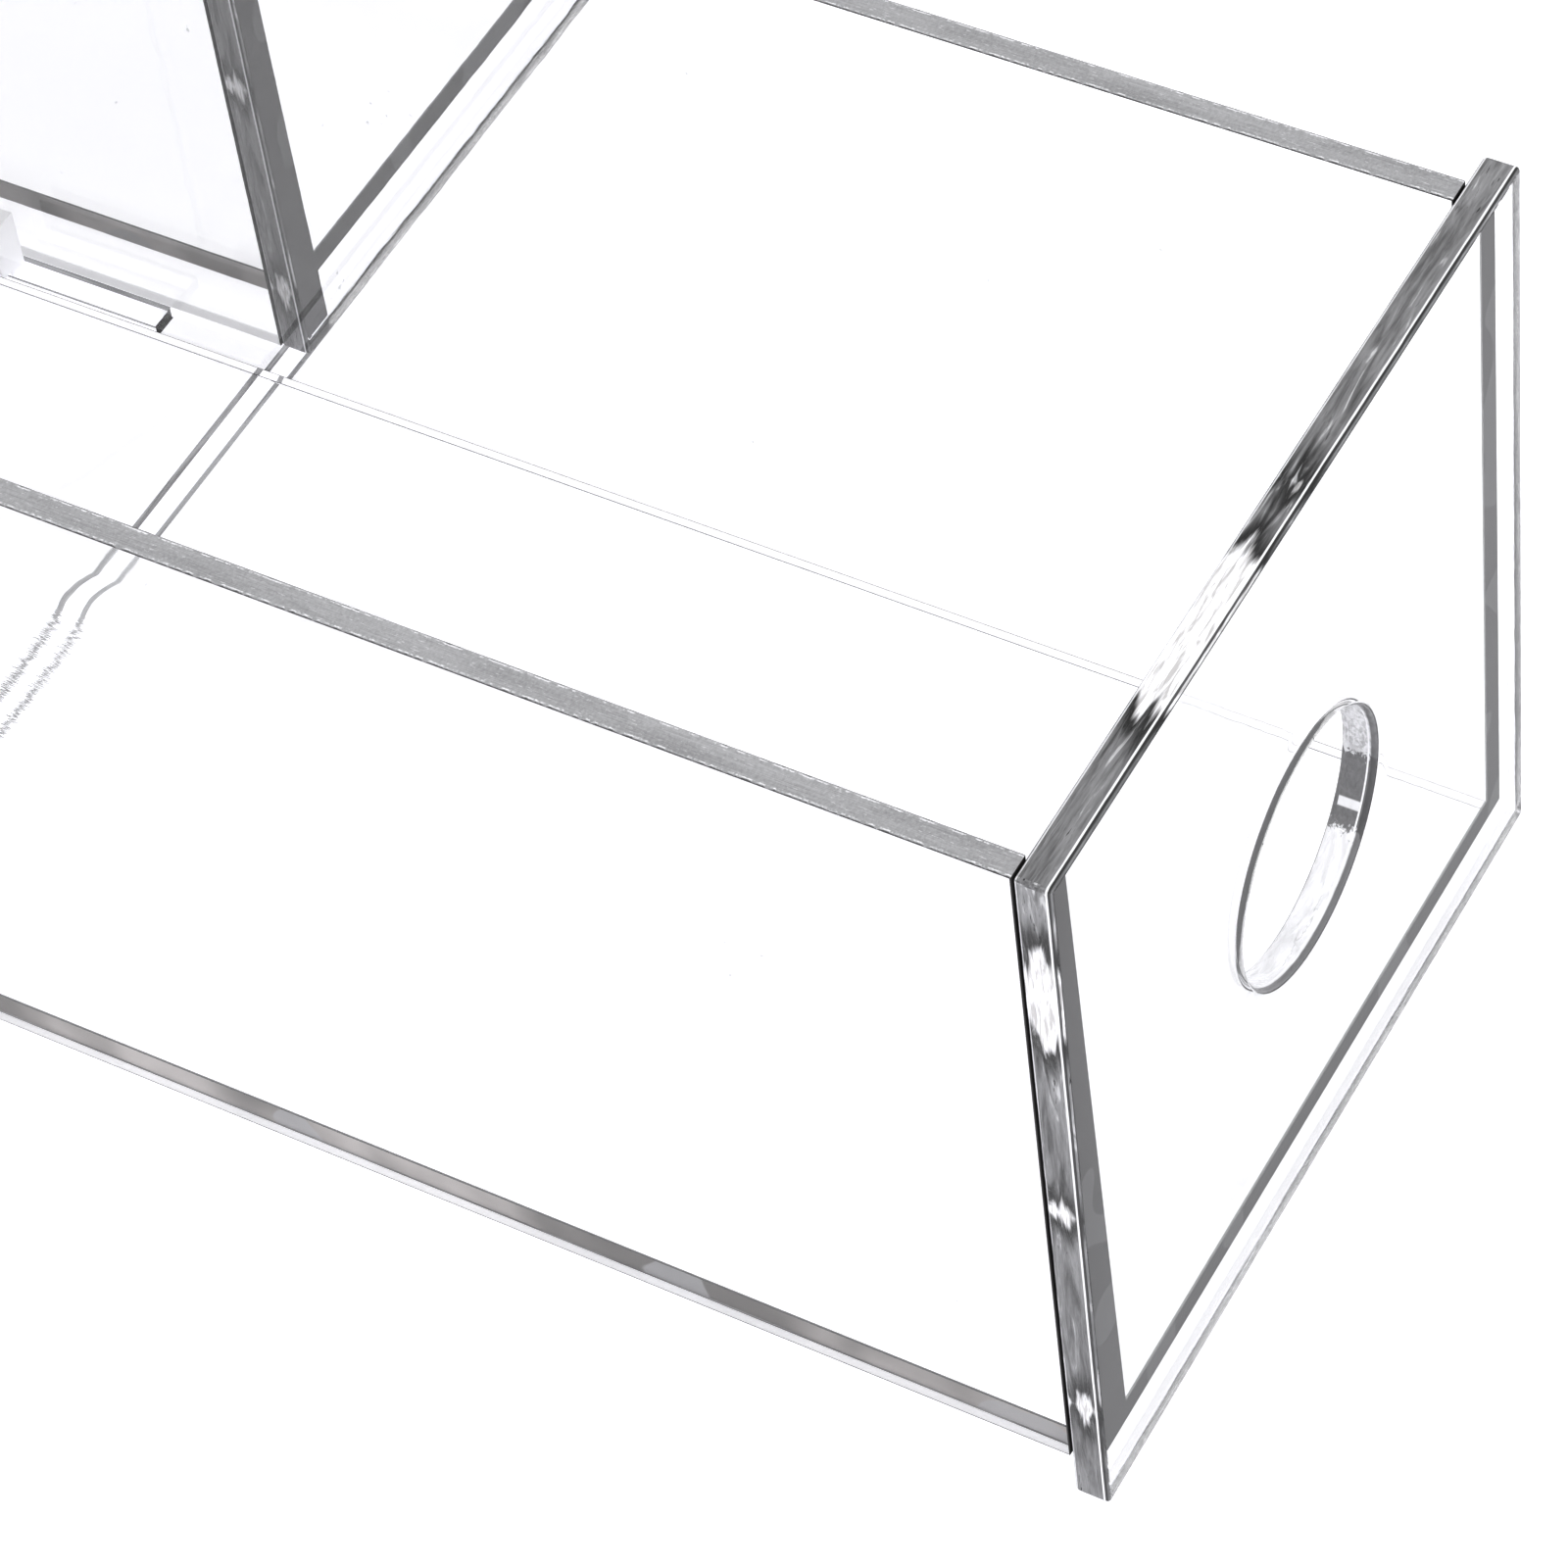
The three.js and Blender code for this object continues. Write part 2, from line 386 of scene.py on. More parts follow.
@dataclass(frozen=True)
class SawnEdge:
    """A matt sawn edge: fine lengthwise saw marks, a chipped arris with a painted dark line of shade along
    it and a painted highlight line beside it.

    Args:
        name: The material's name.
        light: The grey of the palest marks.
        dark: The grey of the darkest marks.
        within: The grey of the edge as seen through the sheet, painted darker as shade.
    """

    name: str
    light: float = 0.46
    dark: float = 0.26
    within: float = 0.13

    def material(self) -> bpy.types.Material:
        """Builds the finish.

        Returns:
            The material.
        """
        s = Shader(self.name)
        uv = s.node("ShaderNodeUVMap", {"uv_map": "edge"})
        u, v, _ = s.split(uv)
        streak = s.noise(s.vector(u * 0.05, v * 9.0), 3.0, detail=6.0, rough=0.7)
        marks = s.noise(s.vector(u * 1.4, v * 3.0), 2.2, detail=4.0, rough=0.6, twist=0.6)
        cloud = s.noise(s.vector(u * 0.02, v * 0.5), 2.0, detail=2.0)
        tone = (streak * 0.55 + marks * 0.3 + cloud * 0.3).ramp(0.40, 0.74)
        colour = s.mix(tone, grey(self.dark), grey(self.light))
        scratch = s.noise(s.vector(u * 0.45, v * 6.0, 3.0), 2.6, detail=3.0, rough=0.7)
        colour = s.mix(scratch.ramp(0.60, 0.68) * 0.55, colour, grey(0.72))
        # The dark line along the arris is painted shade, with real chips in its outline; the bright line
        # beside it is a painted highlight
        chip = s.noise(s.vector(u, v * 0.8), 0.9, detail=3.0, rough=0.65)
        rim = abs(v - 0.5)
        arris = (rim + 0.16 * chip).ramp(0.545, 0.57)
        bright = (rim + 0.10 * marks).ramp(0.42, 0.45)
        bright = bright * (1.0 - (rim + 0.16 * chip).ramp(0.515, 0.54))
        colour = s.mix(bright * chip.ramp(0.42, 0.6) * 0.8, colour, grey(0.9))
        colour = s.mix(arris * 0.85, colour, grey(0.03))
        # Seen through the sheet the edge is painted darker as shade, with lighter blocky breaks of painted
        # light
        blocks = s.noise(s.vector(u * 0.12, v * 0.2), 1.5, detail=1.0).ramp(0.62, 0.66)
        inner = s.mix(streak, grey(self.within * 0.8), grey(self.within * 1.25))
        inner = s.mix(blocks * 0.35, inner, grey(self.within * 3.0))
        behind = s.node("ShaderNodeNewGeometry", out="Backfacing")
        height = streak * 0.6 + marks * 0.4 - arris * 0.8
        sockets = {
            "Base Color": s.mix(behind, colour, inner),
            "Roughness": 0.42 + 0.3 * streak,
            "Normal": s.bump(height, 0.00012, 0.8),
        }
        return s.finish(s.surface(sockets))


@dataclass(frozen=True)
class LitGap:
    """A stretch of a polished edge that catches the light.

    Args:
        axis: The axis that it lies along, 0 for x and 2 for z.
        middle: The place of its middle on that axis, in metres.
        half: Half its length, in metres.
    """

    axis: int
    middle: float
    half: float


@dataclass(frozen=True)
class PolishedEdge:
    """A flame-polished edge, painted with the light and shade seen in it: streaks of painted reflection
    along its length, painted highlight and shade lines by the arrises and painted highlights at lit gaps.

    Args:
        name: The material's name.
        gaps: The lit stretches.
        body: The painted grey of the reflections in the edge between its streaks.
    """

    name: str
    gaps: tuple[LitGap, ...]
    body: float = 0.17

    def material(self) -> bpy.types.Material:
        """Builds the finish.

        Returns:
            The material.
        """
        s = Shader(self.name)
        uv = s.node("ShaderNodeUVMap", {"uv_map": "edge"})
        u, v, _ = s.split(uv)
        place = s.node("ShaderNodeTexCoord", out="Object")
        axes = s.split(place)
        flow = s.noise(s.vector(u * 0.035, v * 1.2), 2.4, detail=4.0, rough=0.55, twist=1.1)
        fine = s.noise(s.vector(u * 0.11, v * 5.0), 2.0, detail=5.0, rough=0.6, twist=0.7)
        slow = s.noise(s.vector(u * 0.05, v * 0.3, 7.0), 1.0, detail=2.0)
        # The streaks are painted reflections in dark and pale greys, drawn out along the edge
        shade = (flow * 0.5 + fine * 0.3 + slow * 0.3).ramp(0.38, 0.70)
        colour = s.mix(shade, grey(self.body * 0.45), grey(self.body * 1.9))
        colour = s.mix(flow.ramp(0.60, 0.68) * 0.8, colour, grey(0.62))
        colour = s.mix(fine.ramp(0.60, 0.68) * slow.ramp(0.45, 0.55), colour, grey(0.012))
        # Painted highlights at the lit gaps, each with a painted dark border of shade
        lit, near_lit = 0.0, 0.0
        for gap in self.gaps:
            off = abs(axes[gap.axis] - gap.middle) + (flow - 0.5) * 0.012 + abs(v - 0.5) * 0.006
            lit = (1.0 - off.ramp(gap.half - 1.5 * MM, gap.half + 1 * MM)).top(lit)
            near_lit = (1.0 - off.ramp(gap.half + 1 * MM, gap.half + 7 * MM)).top(near_lit)
        colour = s.mix((near_lit - lit) * fine.ramp(0.22, 0.42) * 0.95, colour, grey(0.006))
        gleam = s.mix(fine.ramp(0.45, 0.62), grey(0.98), grey(0.55, 0.02))
        colour = s.mix(lit, colour, gleam)
        # Painted highlight lines and dark lines of shade by the arrises
        wobble = 0.03 * flow + 0.02 * fine
        front_line = s.near(v + wobble, 0.165, 0.028)
        front_dark = s.near(v + wobble, 0.105, 0.030)
        rear_line = s.near(v - wobble, 0.90, 0.022) * slow.ramp(0.4, 0.5)
        rear_dark = (v - 0.5 * wobble).ramp(0.94, 0.965)
        colour = s.mix(front_line * 0.9, colour, grey(0.92))
        colour = s.mix(front_dark * 0.9, colour, grey(0.02))
        colour = s.mix(rear_line * 0.8, colour, grey(0.85))
        colour = s.mix(rear_dark * 0.85, colour, grey(0.05))
        wave = {"Normal": s.bump(flow + 0.3 * fine, 0.4 * MM)}
        paint = s.surface({"Base Color": colour, "Roughness": 0.12} | wave)
        return s.finish_painted(paint, 0.97, wave)


@dataclass(frozen=True)
class HoleWall:
    """The flame-polished wall of the finger hole, with its light and shade painted: bright below, and a
    painted dark patch with a bright painted reflection beside it.

    Places round the hole are in degrees, from its right side upward.

    Args:
        name: The material's name.
    """

    name: str

    def material(self) -> bpy.types.Material:
        """Builds the finish.

        Returns:
            The material.
        """
        s = Shader(self.name)
        uv = s.node("ShaderNodeUVMap", {"uv_map": "edge"})
        u, v, _ = s.split(uv)
        turn = u * (180.0 / (math.pi * HOLE_RADIUS / MM))
        flow = s.noise(s.vector(u * 0.10, v * 1.4), 2.2, detail=4.0, rough=0.6, twist=1.0)
        fine = s.noise(s.vector(u * 0.5, v * 3.0), 2.4, detail=5.0, rough=0.65, twist=0.8)
        # Painted light and shade: pale greys, dark streaks, a dark patch with a bright reflection beside
        # it, a grey curl and dark and bright lines by the arrises
        colour = s.mix(flow.ramp(0.35, 0.65), grey(0.80), grey(0.97))
        streaks = turn.ramp(-14.0, -4.0) * (0.6 * flow + 0.4 * fine).ramp(0.42, 0.58)
        colour = s.mix(streaks * 0.65, colour, grey(0.25))
        ragged = turn + (fine - 0.5) * 22.0
        dark = s.near(ragged, -26.0, 17.0, 3.0)
        colour = s.mix(dark * 0.92, colour, s.mix(fine, grey(0.05), grey(0.26)))
        slot = s.near(turn, -32.5, 2.0, 0.8) * s.near(v, 0.55, 0.30)
        colour = s.mix(slot, colour, grey(0.85))
        curl = s.near(v + 0.5 * (flow - 0.5), 0.42, 0.012) * s.near(turn, -95.0, 25.0, 5.0)
        colour = s.mix(curl * 0.4, colour, grey(0.4))
        front = 1.0 - (v + 0.03 * flow).ramp(0.15, 0.20)
        rear = (v - 0.03 * flow).ramp(0.93, 0.96)
        colour = s.mix(front * 0.85, colour, grey(0.10))
        colour = s.mix(s.near(v, 0.225, 0.025), colour, grey(0.95))
        colour = s.mix(rear * 0.7, colour, grey(0.18))
        wave = s.bump(flow, 0.4 * MM)
        paint = s.surface({"Base Color": colour, "Roughness": 0.15, "Normal": wave})
        return s.finish_painted(paint, 0.9)


@dataclass(frozen=True)
class Cement:
    """A cemented joint seen through a sheet, with lighter blocky breaks where it hasn't run.

    Args:
        name: The material's name.
        low: The grey of its darkest parts.
        high: The grey of its palest parts.
        gap: The grey of the breaks.
    """

    name: str
    low: float
    high: float
    gap: float

    def material(self) -> bpy.types.Material:
        """Builds the finish.

        Returns:
            The material.
        """
        s = Shader(self.name)
        place = s.node("ShaderNodeTexCoord", out="Object")
        cloud = s.noise(place, 30.0, detail=3.0, rough=0.6)
        breaks = s.noise(place, 110.0, detail=0.0).ramp(0.655, 0.675)
        colour = s.mix(cloud.ramp(0.38, 0.62), grey(self.low, 0.05), grey(self.high, 0.05))
        colour = s.mix(breaks * 0.7, colour, grey(self.gap))
        sockets = {"Base Color": colour, "Roughness": 1.0, "Specular IOR Level": 0.0}
        return s.finish(s.surface(sockets))


@dataclass(frozen=True)
class ButtEdge:
    """A sawn edge cemented to another sheet: dark from outside, and clear from within.

    Args:
        name: The material's name.
        tone: Its grey from outside.
    """

    name: str
    tone: float = 0.05

    def material(self) -> bpy.types.Material:
        """Builds the finish.

        Returns:
            The material.
        """
        s = Shader(self.name)
        place = s.node("ShaderNodeTexCoord", out="Object")
        cloud = s.noise(place, 60.0, detail=3.0, rough=0.6)
        low, high = grey(self.tone * 0.7, 0.03), grey(self.tone * 1.4, 0.03)
        colour = s.mix(cloud.ramp(0.3, 0.7), low, high)
        return s.finish_painted(s.surface({"Base Color": colour, "Roughness": 0.6}), 0.97)


@dataclass(frozen=True)
class RimEdge:
    """A polished edge painted pale and glowing, for the white light round it, with a painted dark line of
    shade along each arris.

    Args:
        name: The material's name.
        line: How wide each line is, as a share of the edge.
        tone: Its painted pale grey between the lines.
        glow: How much light it gives off as painted light, though it is no lamp.
    """

    name: str
    line: float = 0.13
    tone: float = 0.95
    glow: float = 0.4

    def material(self) -> bpy.types.Material:
        """Builds the finish.

        Returns:
            The material.
        """
        s = Shader(self.name)
        uv = s.node("ShaderNodeUVMap", {"uv_map": "edge"})
        u, v, _ = s.split(uv)
        flow = s.noise(s.vector(u * 0.03, v * 1.3), 2.2, detail=4.0, rough=0.55, twist=0.8)
        # The pale grey, its soft streaks and the glow are painted light; the dark lines by the arrises are
        # painted shade
        rim = abs(v - 0.5) + 0.02 * flow
        border = rim.ramp(0.5 - self.line, 0.52 - self.line)
        colour = s.mix(flow.ramp(0.55, 0.75) * 0.12, grey(self.tone), grey(0.5))
        colour = s.mix(border * 0.9, colour, s.mix(flow.ramp(0.4, 0.6), grey(0.03), grey(0.2)))
        sockets = {
            "Base Color": colour,
            "Roughness": 0.4,
            "Emission Color": colour,
            "Emission Strength": self.glow,
        }
        return s.finish(s.surface(sockets))


@dataclass(frozen=True)
class SealedFace:
    """A face laid wet against another, so that there is nothing to be seen at it.

    Args:
        name: The material's name.
    """

    name: str

    def material(self) -> bpy.types.Material:
        """Builds the finish.

        Returns:
            The material.
        """
        s = Shader(self.name)
        sockets = {"Base Color": grey(0.95), "Roughness": 0.5, "Alpha": 0.0}
        return s.finish(s.surface(sockets))


@dataclass(frozen=True)
class Table:
    """The plain pale table top, which glows so that clear sheets cast no shade on it.

    Args:
        name: The material's name.
        glow: How much light it gives off.
    """

    name: str = "pale_table"
    glow: float = 0.78

    def material(self) -> bpy.types.Material:
        """Builds the finish.

        Returns:
            The material.
        """
        s = Shader(self.name)
        place = s.node("ShaderNodeTexCoord", out="Object")
        soft = s.noise(place, 3.0, detail=2.0)
        colour = s.mix(soft, grey(0.40), grey(0.43))
        sockets = {
            "Base Color": colour,
            "Roughness": 0.8,
            "Emission Color": grey(1.0),
            "Emission Strength": self.glow,
        }
        return s.finish(s.surface(sockets))


# --------------------------------------------------------------------- meshes


def only(obj: bpy.types.Object) -> None:
    """Makes obj the one selected and active object."""
    bpy.ops.object.select_all(action="DESELECT")
    obj.select_set(True)
    bpy.context.view_layer.objects.active = obj


@dataclass(frozen=True)
class Bond:
    """Where another sheet is cemented on, and how far the cement has run out beside it.

    Args:
        node: The CAD node of the other sheet.
        finish: What the joint looks like through the sheet.
        run_top: How far the cement runs past the other sheet's right side at its top, in metres.
        run_foot: The same at its foot.
    """

    node: str
    finish: Finish = Finish.GREY_JOINT
    run_top: float = 0.0
    run_foot: float = 0.0

    def cuts(self) -> list[tuple[Vector, Vector]]:
        """The planes round the joint.

        Returns:
            A point on each plane, and its normal.
        """
        low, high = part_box(self.node)
        foot = Vector((high.x + self.run_foot, low.y, low.z))
        lean = Vector((high.z - low.z, 0, self.run_foot - self.run_top))
        planes = [(low, Vector((1, 0, 0))), (foot, lean.normalized())]
        for across in (Vector((0, 1, 0)), Vector((0, 0, 1))):
            planes += [(low, across), (high, across)]
        return planes

    def covers(self, spot: Vector) -> bool:
        """Whether the joint reaches a spot.

        Args:
            spot: The middle of a face.

        Returns:
            True if it does.
        """
        low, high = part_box(self.node)
        share = (spot.z - low.z) / (high.z - low.z)
        right = high.x + self.run_foot + (self.run_top - self.run_foot) * share
        near = 0.4 * MM
        beside = near if self.run_foot == 0 else 0
        if not low.x - near < spot.x < right + beside:
            return False
        return all(low[axis] - near < spot[axis] < high[axis] + near for axis in (1, 2))


@dataclass
class Sheet:
    """One sheet of acrylic, made from the solid of a CAD node.

    Args:
        node: The CAD node that it stands for.
        body: The moving body that it rides on.
        edges: The finish of the edges that face each way.
        faces: The finish of the two wide faces, if it isn't clear.
        bonds: The joints that show through it.
        arris: How far its sharp edges are broken, in metres.
        slot: A material slot name; not used.
        default: The finish of edges that edges doesn't name.
        cutout: The finish of edges inside the outline, by the way they face.
        hole: The centre of a round hole through the sheet, or None.
        span: The part of the edge map that its thickness fills, so that laminated sheets share one.
    """

    node: str
    body: str
    edges: dict[Axis, Finish] = field(default_factory=dict)
    faces: dict[Axis, Finish] = field(default_factory=dict)
    bonds: tuple[Bond, ...] = ()
    arris: float = 0.12 * MM
    slot: str = "clear_sheet"
    default: Finish = Finish.SAWN
    cutout: dict[Axis, Finish] = field(default_factory=dict)
    hole: Vector | None = None
    span: tuple[float, float] = (0.0, 1.0)

    def mesh(self) -> bpy.types.Object:
        """Copies the solid, merges its triangles to flat faces and breaks its edges.

        Returns:
            The bare sheet.
        """
        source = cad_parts[self.node]
        data = source.data.copy()
        data.materials.clear()
        piece = bpy.data.objects.new(self.node + "_sheet", data)
        bpy.context.scene.collection.objects.link(piece)
        only(piece)
        bpy.ops.object.mode_set(mode="EDIT")
        bpy.ops.mesh.select_all(action="SELECT")
        bpy.ops.mesh.remove_doubles(threshold=MERGE_DISTANCE)
        bpy.ops.mesh.dissolve_limited(angle_limit=math.radians(1.0))
        bpy.ops.object.mode_set(mode="OBJECT")
        self.break_edges(piece, 2)
        return piece

    def break_edges(self, piece: bpy.types.Object, segments: int) -> None:
        """Rounds the sharp edges of a piece by the arris.

        Args:
            piece: The sheet.
            segments: How many faces each rounding has.
        """
        bevel = piece.modifiers.new("arris", "BEVEL")
        bevel.width = self.arris
        bevel.segments = segments
        bevel.limit_method = "ANGLE"
        bevel.angle_limit = math.radians(30)
        only(piece)
        bpy.ops.object.modifier_apply(modifier=bevel.name)

    def part_bonds(self, piece: bpy.types.Object) -> None:
        """Cuts the faces of a piece round its joints.

        Args:
            piece: The sheet.
        """
        only(piece)
        bpy.ops.object.mode_set(mode="EDIT")
        for bond in self.bonds:
            for spot, turned in bond.cuts():
                bpy.ops.mesh.select_all(action="SELECT")
                bpy.ops.mesh.bisect(plane_co=spot, plane_no=turned, threshold=CUT_DISTANCE)
        bpy.ops.object.mode_set(mode="OBJECT")

    def across(self, mesh: bpy.types.Mesh) -> Vector:
        """The direction through the sheet, from its widest face."""
        widest = max(mesh.polygons, key=lambda polygon: polygon.area).normal.copy()
        return widest if widest.x + widest.y + widest.z > 0 else -widest

    def finish_of(self, polygon: bpy.types.MeshPolygon, across: Vector) -> Finish:
        """The finish of one face of the mesh.

        Args:
            polygon: The face.
            across: The direction through the sheet.

        Returns:
            Its finish.
        """
        if abs(polygon.normal.dot(across)) > FLAT:
            for bond in self.bonds:
                if bond.covers(polygon.center):
                    return bond.finish
            facing = max(Axis, key=lambda axis: polygon.normal.dot(Vector(axis.value)))
            return self.faces.get(facing, Finish.CLEAR)
        if self.rings(polygon):
            return Finish.HOLE
        side = polygon.normal - across * polygon.normal.dot(across)
        facing = max(Axis, key=lambda axis: side.dot(Vector(axis.value)))
        if facing in self.cutout and self.reach(polygon.center, facing) > WITHIN_OUTLINE:
            return self.cutout[facing]
        return self.edges.get(facing, self.default)

    def reach(self, spot: Vector, facing: Axis) -> float:
        """How far a spot lies inside the sheet's outline.

        Args:
            spot: The middle of an edge's face.
            facing: The side of the outline to measure from.

        Returns:
            The distance in metres.
        """
        low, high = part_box(self.node)
        corner = high if sum(facing.value) > 0 else low
        return (corner - spot).dot(Vector(facing.value))

    def rings(self, polygon: bpy.types.MeshPolygon) -> bool:
        """Whether an edge's face belongs to the wall of the hole."""
        return self.hole is not None and (polygon.center - self.hole).length < HOLE_REACH

    def dress(self, piece: bpy.types.Object, finishes: list[bpy.types.Material]) -> None:
        """Gives every face its finish and the edges their own map.

        Args:
            piece: The sheet.
            finishes: The materials, in the order of Finish.
        """
        mesh = piece.data
        across = self.across(mesh)
        layer = mesh.uv_layers.new(name="edge")
        spots = [vertex.co.dot(across) for vertex in mesh.vertices]
        low, thickness = min(spots), max(spots) - min(spots)
        span_low, span_high = self.span
        used: list[Finish] = []
        for polygon in mesh.polygons:
            finish = self.finish_of(polygon, across)
            if finish not in used:
                used.append(finish)
                mesh.materials.append(finishes[finish.value])
            polygon.material_index = used.index(finish)
            side = polygon.normal - across * polygon.normal.dot(across)
            along = across.cross(side).normalized() if side.length > 1e-6 else Vector((1, 0, 0))
            start = None
            for loop in polygon.loop_indices:
                spot = mesh.vertices[mesh.loops[loop].vertex_index].co
                u = spot.dot(along)
                if finish is Finish.HOLE:
                    arm = spot - self.hole
                    turn = math.atan2(arm.z, arm.x)
                    if start is not None and abs(turn - start) > math.pi:
                        turn += math.copysign(2 * math.pi, start - turn)
                    start = turn
                    u = turn * HOLE_RADIUS
                share = (spot.dot(across) - low) / thickness
                layer.data[loop].uv = (u / MM, span_low + (span_high - span_low) * share)
        self.smooth(piece)

    def smooth(self, piece: bpy.types.Object) -> None:
        """Shades the broken edges round and the wide faces flat.

        Args:
            piece: The sheet.
        """
        only(piece)
        bpy.ops.object.shade_smooth_by_angle(angle=math.radians(35))
        even = piece.modifiers.new("even_normals", "WEIGHTED_NORMAL")
        even.mode = "FACE_AREA"
        even.weight = 100
        even.keep_sharp = True
        bpy.ops.object.modifier_apply(modifier=even.name)

    def build(self, finishes: list[bpy.types.Material]) -> None:
        """Makes the sheet, dresses it and hands it to its body.

        Args:
            finishes: The materials, in the order of Finish.
        """
        piece = self.mesh()
        self.part_bonds(piece)
        self.dress(piece, finishes)
        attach(piece, self.body)
        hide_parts(self.node)
        LOG.info("%s: %d faces", piece.name, len(piece.data.polygons))


@dataclass
class FrontPanel(Sheet):
    """A front panel with flame-polished edges and, on the tray, a finger hole.

    Args:
        arris: How far its edges are rounded, in metres.
        slot: A material slot name; not used.
        default: The finish of its edges.
        sides: How many sides the drill has.
    """

    arris: float = 0.5 * MM
    slot: str = "polished_panel"
    default: Finish = Finish.POLISHED
    sides: int = 192

    def mesh(self) -> bpy.types.Object:
        """Models the panel from a block, drills it and rounds its edges.

        Returns:
            The bare panel.
        """
        low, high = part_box(self.node)
        bpy.ops.object.select_all(action="DESELECT")
        bpy.ops.mesh.primitive_cube_add(size=1, location=(low + high) / 2, scale=high - low)
        piece = bpy.context.active_object
        piece.name = self.node + "_sheet"
        bpy.ops.object.transform_apply(location=True, rotation=True, scale=True)
        if self.hole is not None:
            bpy.ops.mesh.primitive_cylinder_add(
                vertices=self.sides,
                radius=HOLE_RADIUS,
                depth=20 * MM,
                location=self.hole,
                rotation=(math.pi / 2, 0, 0),
            )
            drill = bpy.context.active_object
            cut = piece.modifiers.new("finger_hole", "BOOLEAN")
            cut.operation = "DIFFERENCE"
            cut.solver = "EXACT"
            cut.object = drill
            only(piece)
            bpy.ops.object.modifier_apply(modifier=cut.name)
            bpy.data.objects.remove(drill)
        self.break_edges(piece, 4)
        return piece


# --------------------------------------------------------------- sub-assemblies

WALL_EDGES = {Axis.DOWN: Finish.RIM, Axis.FRONT: Finish.BUTT}
BETWEEN_EDGES = {Axis.DOWN: Finish.RIM, Axis.LEFT: Finish.BUTT, Axis.RIGHT: Finish.BUTT}
SEALED_FACES = {Axis.UP: Finish.SEALED, Axis.DOWN: Finish.SEALED}
PANEL_FACES = {Axis.FRONT: Finish.PANEL, Axis.REAR: Finish.PANEL}
LIT_GAPS = (
    LitGap(axis=0, middle=-67 * MM, half=12 * MM),
    LitGap(axis=0, middle=-47 * MM, half=1.2 * MM),
    LitGap(axis=2, middle=83 * MM, half=8 * MM),
    LitGap(axis=2, middle=49.5 * MM, half=1.6 * MM),
    LitGap(axis=2, middle=16.5 * MM, half=2 * MM),
)


def panel_centre() -> Vector:
    """The middle of the tray's front panel, where the finger hole is."""
    low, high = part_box("tray_front_panel")
    return (low + high) / 2


@dataclass
class CatchTray:
    """The sliding tray: four walls, a floor, the front panel and the guide key.

    Args:
        body: The moving body that it rides on.
        run_top: How far the cement has run out beside the near wall at its top, in metres.
        run_foot: The same at its foot.
    """

    body: str = "tray"
    run_top: float = 1.5 * MM
    run_foot: float = 3.7 * MM

    def build(self, finishes: list[bpy.types.Material]) -> None:
        """Makes every sheet of the tray.

        Args:
            finishes: The materials, in the order of Finish.
        """
        joints = (
            Bond("tray_near_wall", Finish.DARK_JOINT, self.run_top, self.run_foot),
            Bond("tray_far_wall", Finish.DARK_JOINT),
            Bond("tray_floor", Finish.DARK_JOINT),
        )
        hole = panel_centre()
        panel = FrontPanel("tray_front_panel", self.body, faces=PANEL_FACES, bonds=joints, hole=hole)
        panel.build(finishes)
        floor = (Bond("tray_floor"),)
        sagged = {Axis.LEFT: Finish.SAGGED}
        Sheet("tray_near_wall", self.body, WALL_EDGES, sagged, floor).build(finishes)
        Sheet("tray_far_wall", self.body, WALL_EDGES).build(finishes)
        Sheet("tray_rear_wall", self.body, BETWEEN_EDGES, bonds=floor).build(finishes)
        Sheet("tray_floor", self.body, default=Finish.BUTT).build(finishes)
        Sheet("tray_guide_key", self.body, default=Finish.PALE).build(finishes)


@dataclass
class Base:
    """The two laminated base sheets.

    Args:
        body: The body that they ride on.
        share: The part of the front edge's height that the lower sheet fills.
    """

    body: str = "stand"
    share: float = 0.5

    def build(self, finishes: list[bpy.types.Material]) -> None:
        """Makes both sheets.

        Args:
            finishes: The materials, in the order of Finish.
        """
        front = {Axis.FRONT: Finish.LINED}
        lower = Sheet("base_lower_sheet", self.body, front, SEALED_FACES, span=(0.0, self.share))
        lower.build(finishes)
        guide_slot = {
            Axis.LEFT: Finish.RIM,
            Axis.RIGHT: Finish.RIM,
            Axis.FRONT: Finish.RIM,
            # The end of the guide slot takes the dark joint finish as painted shade; no cement is there
            Axis.REAR: Finish.DARK_JOINT,
        }
        upper = Sheet(
            "base_upper_sheet",
            self.body,
            front,
            {Axis.DOWN: Finish.SEALED},
            cutout=guide_slot,
            span=(self.share, 1.0),
        )
        upper.build(finishes)


